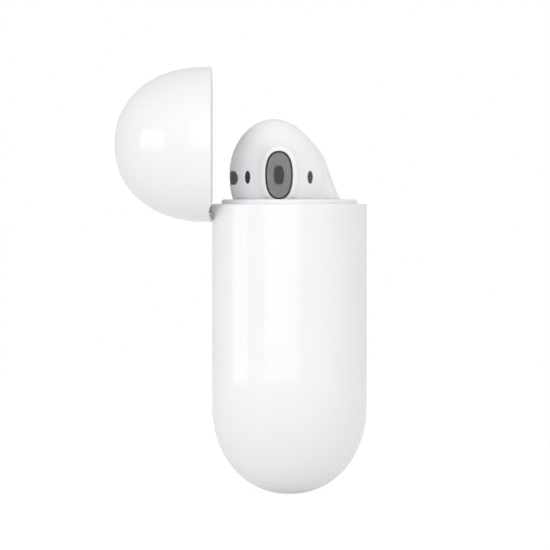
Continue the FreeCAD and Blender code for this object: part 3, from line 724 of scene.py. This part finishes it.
WHITE = (1, 1, 1, 1)
FLOOR_RADIUS = 3.0
FLOOR_LOW, FLOOR_HIGH = (0.54, 0.54, 0.545), (0.58, 0.58, 0.585)
FLOOR_CLOUDS_PER_MM = 0.02
FLOOR_WHITE = 0.8
FLOOR_GLOW = 0.32
SWEEP_STRENGTH = 1.06
STUDIO_COLOUR = (0.985, 0.988, 1, 1)
FILL_STRENGTH = 0.76
KEY_STRENGTH = 0.36
KEY_DIRECTION = (-1.0, 0.0, 0.12)
CAMERA_PLACE = (-2.5, 0.0020, 0.0302)
FIELD_WIDTH = 0.0758
NEAR_FACE_X = -0.01


def make_floor():
    """A plain pale floor, level with the case's bottom end, which the camera sees as nearly white."""
    work = bmesh.new()
    bmesh.ops.create_circle(work, cap_ends=True, segments=96, radius=FLOOR_RADIUS)
    mesh = bpy.data.meshes.new("floor")
    work.to_mesh(mesh)
    work.free()
    material, tree, shader, coordinates = node_material("pale floor")
    clouds = noise(tree, coordinates, FLOOR_CLOUDS_PER_MM)
    tree.links.new(ramp(tree, clouds, FLOOR_LOW, FLOOR_HIGH), shader.inputs["Base Color"])
    shader.inputs["Roughness"].default_value = 0.9
    shader.inputs["Specular IOR Level"].default_value = 0.1
    shader.inputs["Emission Color"].default_value = WHITE
    shader.inputs["Emission Strength"].default_value = FLOOR_GLOW
    sweep = tree.nodes.new("ShaderNodeEmission")
    sweep.inputs["Color"].default_value = WHITE
    sweep.inputs["Strength"].default_value = SWEEP_STRENGTH
    seen = tree.nodes.new("ShaderNodeMath")
    seen.operation = "MULTIPLY"
    seen.inputs[1].default_value = FLOOR_WHITE
    tree.links.new(tree.nodes.new("ShaderNodeLightPath").outputs["Is Camera Ray"], seen.inputs[0])
    mix = tree.nodes.new("ShaderNodeMixShader")
    tree.links.new(seen.outputs["Value"], mix.inputs["Fac"])
    tree.links.new(shader.outputs["BSDF"], mix.inputs[1])
    tree.links.new(sweep.outputs["Emission"], mix.inputs[2])
    tree.links.new(mix.outputs["Shader"], tree.nodes["Material Output"].inputs["Surface"])
    mesh.materials.append(material)
    floor = bpy.data.objects.new("floor", mesh)
    floor.location.z = cad_box[0].z
    bpy.context.scene.collection.objects.link(floor)


def make_world():
    """A white studio. The light that falls on the object is brightest behind the camera and fades around it."""
    world = bpy.data.worlds.new("studio")
    world.use_nodes = True
    bpy.context.scene.world = world
    tree = world.node_tree
    tree.nodes.clear()
    direction = tree.nodes.new("ShaderNodeTexCoord").outputs["Generated"]
    facing = tree.nodes.new("ShaderNodeVectorMath")
    facing.operation = "DOT_PRODUCT"
    facing.inputs[1].default_value = KEY_DIRECTION
    tree.links.new(direction, facing.inputs[0])
    fade = tree.nodes.new("ShaderNodeMapRange")
    fade.interpolation_type = "SMOOTHSTEP"
    fade.inputs["To Min"].default_value = FILL_STRENGTH
    fade.inputs["To Max"].default_value = FILL_STRENGTH + KEY_STRENGTH
    tree.links.new(facing.outputs["Value"], fade.inputs["Value"])
    studio = tree.nodes.new("ShaderNodeBackground")
    studio.inputs["Color"].default_value = STUDIO_COLOUR
    tree.links.new(fade.outputs["Result"], studio.inputs["Strength"])
    seen = tree.nodes.new("ShaderNodeBackground")
    seen.inputs["Color"].default_value = WHITE
    path = tree.nodes.new("ShaderNodeLightPath")
    mix = tree.nodes.new("ShaderNodeMixShader")
    output = tree.nodes.new("ShaderNodeOutputWorld")
    tree.links.new(path.outputs["Is Camera Ray"], mix.inputs["Fac"])
    tree.links.new(studio.outputs["Background"], mix.inputs[1])
    tree.links.new(seen.outputs["Background"], mix.inputs[2])
    tree.links.new(mix.outputs["Shader"], output.inputs["Surface"])


def area_light(name, azimuth, elevation, distance, width, height, power):
    """A soft box that faces the case. Azimuth 0 is in front of the case and 90 on its left."""
    data = bpy.data.lights.new(name, "AREA")
    data.shape = "RECTANGLE"
    data.size, data.size_y = width, height
    data.energy = power
    light = bpy.data.objects.new(name, data)
    low, high = cad_box
    middle = (low + high) / 2
    turn, rise = math.radians(azimuth), math.radians(elevation)
    away = np.array([-math.sin(turn) * math.cos(rise), -math.cos(turn) * math.cos(rise), math.sin(rise)])
    light.location = np.array(middle) + distance * away
    light.rotation_mode = "QUATERNION"
    light.rotation_quaternion = (middle - light.location).to_track_quat("-Z", "Y")
    bpy.context.scene.collection.objects.link(light)


def make_lights():
    """A strip at the back left, for the long highlight down the case's side, and a key beside the camera."""
    area_light("strip", azimuth=173, elevation=6.7, distance=0.6, width=0.34, height=0.2, power=0.2)
    area_light("key", azimuth=102, elevation=14, distance=0.6, width=0.55, height=0.5, power=0.6)


def make_camera():
    """A long lens level with the case, looking at its left side."""
    distance = NEAR_FACE_X - CAMERA_PLACE[0]
    data = bpy.data.cameras.new("camera")
    data.sensor_width = 36
    data.lens = data.sensor_width * distance / FIELD_WIDTH
    data.clip_start, data.clip_end = 0.05, 20
    camera = bpy.data.objects.new("camera", data)
    camera.location = CAMERA_PLACE
    camera.rotation_euler = (math.pi / 2, 0, -math.pi / 2)
    bpy.context.scene.collection.objects.link(camera)
    bpy.context.scene.camera = camera


make_camera()
finish_cad_nodes()
make_earbuds()
make_floor()
make_world()
make_lights()
bpy.context.scene.view_settings.view_transform = "Standard"
